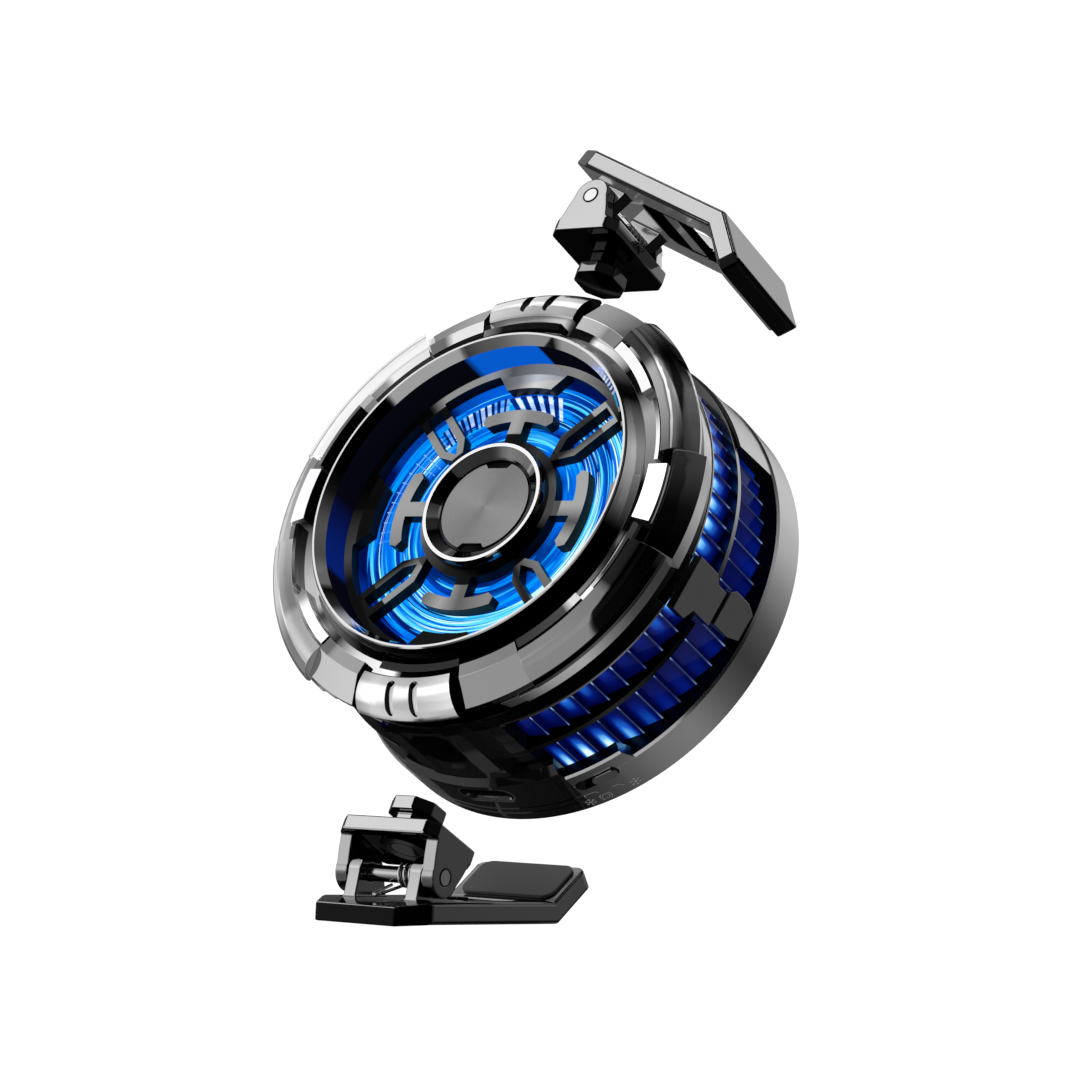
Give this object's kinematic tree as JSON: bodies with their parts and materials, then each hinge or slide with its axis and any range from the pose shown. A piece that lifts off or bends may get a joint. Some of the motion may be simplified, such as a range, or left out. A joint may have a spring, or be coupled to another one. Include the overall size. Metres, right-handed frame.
{
  "type": "clip-on phone cooling fan",
  "caption": "Round thermoelectric phone cooler with a lit fan behind a spoked grille, louvred sides and spring clips that plug into its edge and swivel.",
  "frame": {"origin": "centre of the flat cooling face that lies on the phone", "axes": "+Z from the cooling face out along the fan's axis, +Y towards the top clip socket, -Y towards the USB socket and the bottom clip"},
  "size_m": [0.066, 0.1158, 0.0399],
  "materials": {
    "dark_metal": "satin gunmetal",
    "light_metal": "bright satin gunmetal",
    "silver": "satin silver",
    "chrome": "polished",
    "black_gloss": "polished black",
    "black_matte": "moulded",
    "blue_clear": "clear blue, lit from inside",
    "blue_fan": "clear blue, lit",
    "clip_metal": "gloss gunmetal",
    "grey_rubber": "soft silicone",
    "cold_plate": "brushed",
    "aluminium": "plain",
    "magnet": "nickel plated",
    "copper": "enamelled copper",
    "ceramic": "white ceramic",
    "board": "solder mask",
    "steel": "plain",
    "brass": "sintered bush",
    "badge": "spun, bare"
  },
  "bodies": {
    "cooler": {"base_housing": "dark_metal", "port_panel": "black_gloss", "cooling_plate": "cold_plate", "rear_pad": "grey_rubber", "magnet_ring": "magnet", "charging_coil": "copper", "peltier_module": "ceramic", "heat_sink": "aluminium", "main_board": "board", "usb_c_port": "steel", "switch_body": "black_matte", "led_board": "board", "inner_sleeve": "blue_clear", "lower_louvres": "blue_clear", "upper_louvres": "blue_clear", "middle_rib": "dark_metal", "rim_ring": "light_metal", "bridge_blocks": "dark_metal", "bottom_socket": "black_gloss", "top_socket": "black_gloss", "front_housing": "black_gloss", "body_screws": "steel", "bevel_bands": "light_metal", "bottom_right_shoulder_panel": "light_metal", "top_right_shoulder_panel": "light_metal", "top_left_shoulder_panel": "light_metal", "bottom_left_shoulder_panel": "light_metal", "side_armour": "black_gloss", "socket_lugs": "silver", "rim_segments": "silver", "deck_trims": "silver", "deck_blocks": "silver", "bezel": "chrome", "bezel_skirt": "black_gloss", "fan_duct": "blue_clear", "front_grille": "dark_metal", "hub_ring": "chrome", "hub_bevel": "black_gloss", "hub_badge": "badge", "fan_bracket": "black_matte", "fan_bearing": "brass", "fan_stator": "steel"},
    "fan": {"fan_rotor": "blue_fan", "rotor_magnet": "magnet", "fan_shaft": "steel"},
    "switch": {"switch_knob": "dark_metal"},
    "bottom_plug_body": {"bottom_plug": "clip_metal", "bottom_plug_washer": "steel"},
    "bottom_base_body": {"bottom_clip_base": "clip_metal", "bottom_hinge_pin": "steel", "bottom_spring": "steel"},
    "bottom_arm_body": {"bottom_arm": "clip_metal", "bottom_clip_pad": "grey_rubber"},
    "top_plug_body": {"top_plug": "clip_metal", "top_plug_washer": "steel"},
    "top_base_body": {"top_clip_base": "clip_metal", "top_hinge_pin": "steel", "top_spring": "steel"},
    "top_arm_body": {"top_arm": "clip_metal", "top_clip_pad": "grey_rubber"}
  },
  "joints": [
    {"name": "fan_spin", "type": "hinge", "parent": "cooler", "child": "fan", "pos_m": [0, 0, 0.018], "axis": [0, 0, 1], "continuous": true},
    {"name": "switch_slide", "type": "slide", "parent": "cooler", "child": "switch", "axis": [-0.8809, -0.4733, 0], "range_m": [0, 0.0023]},
    {"name": "bottom_plug_slide", "type": "slide", "parent": "cooler", "child": "bottom_plug_body", "axis": [0, 1, 0], "range_m": [0, 0.01085]},
    {"name": "bottom_swivel", "type": "hinge", "parent": "bottom_plug_body", "child": "bottom_base_body", "pos_m": [0, -0.0399, 0.0189], "axis": [0, -1, 0], "range_deg": [0, 90]},
    {"name": "bottom_arm_hinge", "type": "hinge", "parent": "bottom_base_body", "child": "bottom_arm_body", "pos_m": [0, -0.04945, 0.0189], "axis": [-1, 0, 0], "range_deg": [0, 32], "stiffness_Nm_per_rad": 0.03, "springref_deg": -28.65, "deforming": ["bottom_spring"]},
    {"name": "top_plug_slide", "type": "slide", "parent": "cooler", "child": "top_plug_body", "axis": [0, -1, 0], "range_m": [0, 0.0099]},
    {"name": "top_swivel", "type": "hinge", "parent": "top_plug_body", "child": "top_base_body", "pos_m": [0, 0.03895, 0.0189], "axis": [0, 1, 0], "range_deg": [0, 90]},
    {"name": "top_arm_hinge", "type": "hinge", "parent": "top_base_body", "child": "top_arm_body", "pos_m": [0, 0.0485, 0.0189], "axis": [0, 0, 1], "range_deg": [0, 32], "stiffness_Nm_per_rad": 0.03, "springref_deg": -28.65, "deforming": ["top_spring"]}
  ]
}
